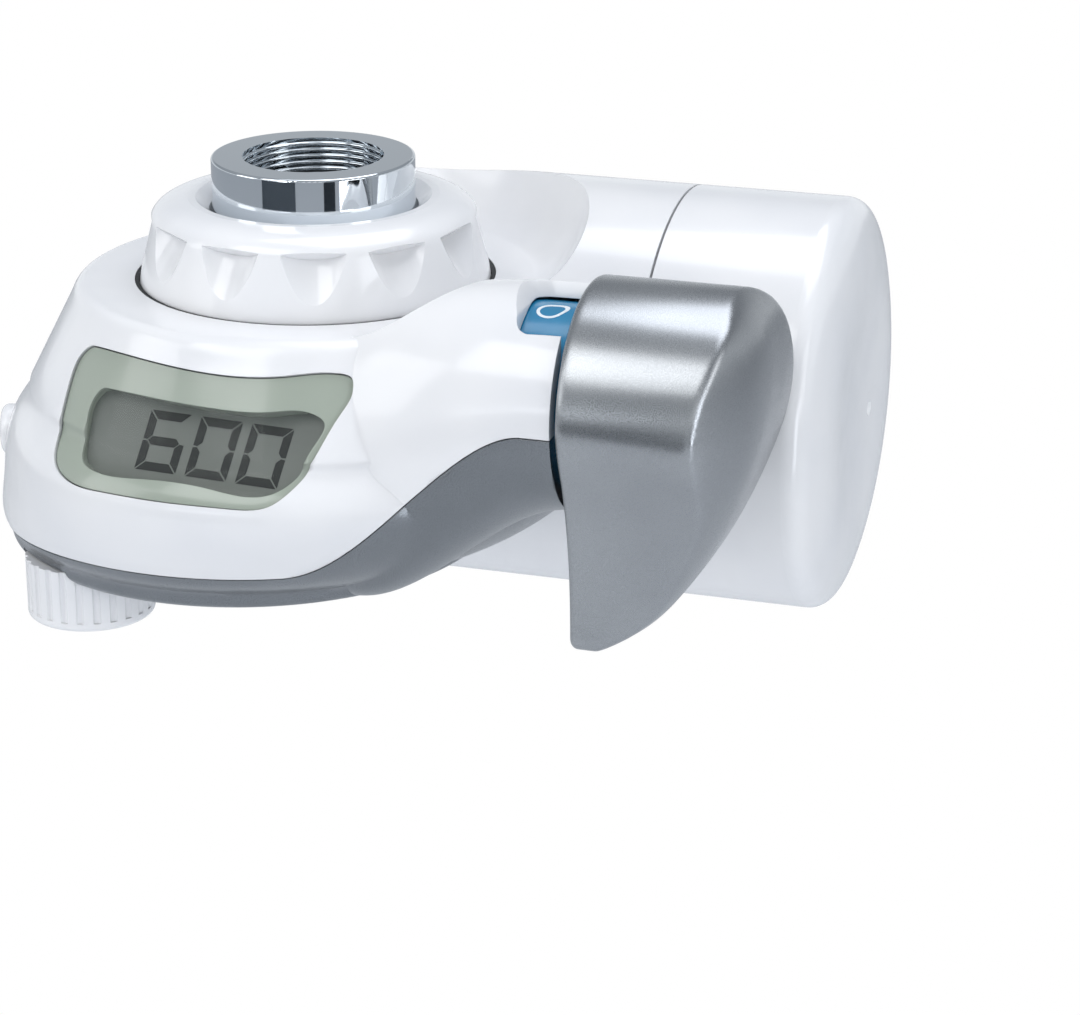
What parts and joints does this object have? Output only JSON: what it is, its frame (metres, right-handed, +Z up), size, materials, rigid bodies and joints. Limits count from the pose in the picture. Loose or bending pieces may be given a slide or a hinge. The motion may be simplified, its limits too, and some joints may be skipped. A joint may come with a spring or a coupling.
{
  "type": "faucet mount water filter",
  "caption": "Tap mounted water filter: nut on the tap, round nose with a display, side lever with a blue indicator, lying filter cartridge and ribbed outlet.",
  "frame": {"origin": "centre of the tap adapter's top rim, on the tap's axis", "axes": "+Z up along the tap's axis, +X along the cartridge towards its closed end, -Y towards the side the display looks to"},
  "size_m": [0.1342, 0.108, 0.074],
  "materials": {
    "white_plastic": "gloss white moulding",
    "grey_trim": "satin silver-grey lacquer over a moulding",
    "silver_lever": "satin silver lacquer over a moulding",
    "steel": "plain stainless steel",
    "chrome": "polished chrome plate",
    "black_rubber": "soft sealing rubber",
    "duct_plastic": "natural grey-white moulding",
    "blue_plastic": "blue moulding",
    "pale_green_frame": "pale grey-green moulding",
    "clear_lens": "clear pane",
    "lcd_glass": "grey-green display panel",
    "green_board": "glass-fibre board",
    "black_plastic": "black moulding",
    "carbon": "pressed activated carbon",
    "fleece": "white fleece"
  },
  "bodies": {
    "housing": {"upper_housing": "white_plastic", "lower_trim": "grey_trim", "housing_screws": "steel", "tap_adapter": "chrome", "adapter_washer": "black_rubber", "collar_seal": "black_rubber", "inlet_screen": "steel", "manifold": "duct_plastic", "valve_cap": "duct_plastic", "display_frame": "pale_green_frame", "display_lens": "clear_lens", "lcd_panel": "lcd_glass", "contact_strips": "black_rubber", "circuit_board": "green_board", "coin_cell": "steel", "cell_clip": "steel", "reset_switch": "black_plastic"},
    "nut": {"collar_nut": "white_plastic"},
    "lever": {"selector_lever": "silver_lever", "valve_spool": "duct_plastic", "spool_rings": "black_rubber", "indicator_drum": "blue_plastic"},
    "button": {"reset_button": "white_plastic"},
    "outlet": {"outlet_ring": "white_plastic", "spray_plate": "duct_plastic", "outlet_gasket": "black_rubber"},
    "cartridge_slider": {"spigot_rings": "black_rubber"},
    "cartridge": {"cartridge_shell": "white_plastic", "cartridge_head": "duct_plastic", "carbon_block": "carbon", "prefilter_fleece": "fleece", "block_cap_inner": "duct_plastic", "block_cap_outer": "duct_plastic"}
  },
  "joints": [
    {"name": "nut_turn", "type": "hinge", "parent": "housing", "child": "nut", "pos_m": [0, 0, -0.015], "axis": [0, 0, 1], "continuous": true},
    {"name": "lever_turn", "type": "hinge", "parent": "housing", "child": "lever", "pos_m": [0.066, -0.025, -0.0265], "axis": [1, 0, 0], "range_deg": [-70, 0]},
    {"name": "button_press", "type": "slide", "parent": "housing", "child": "button", "axis": [0.9532, 0.3024, 0], "range_m": [0, 0.0006], "stiffness_N_per_m": 400, "springref_m": -0.0012},
    {"name": "outlet_turn", "type": "hinge", "parent": "housing", "child": "outlet", "pos_m": [-0.0295, -0.025, -0.065], "axis": [0, 0, 1], "continuous": true},
    {"name": "cartridge_pull", "type": "slide", "parent": "housing", "child": "cartridge_slider", "axis": [1, 0, 0], "range_m": [0, 0.07]},
    {"name": "cartridge_twist", "type": "hinge", "parent": "cartridge_slider", "child": "cartridge", "pos_m": [0.06, 0.026, -0.041], "axis": [1, 0, 0], "range_deg": [0, 45]}
  ]
}
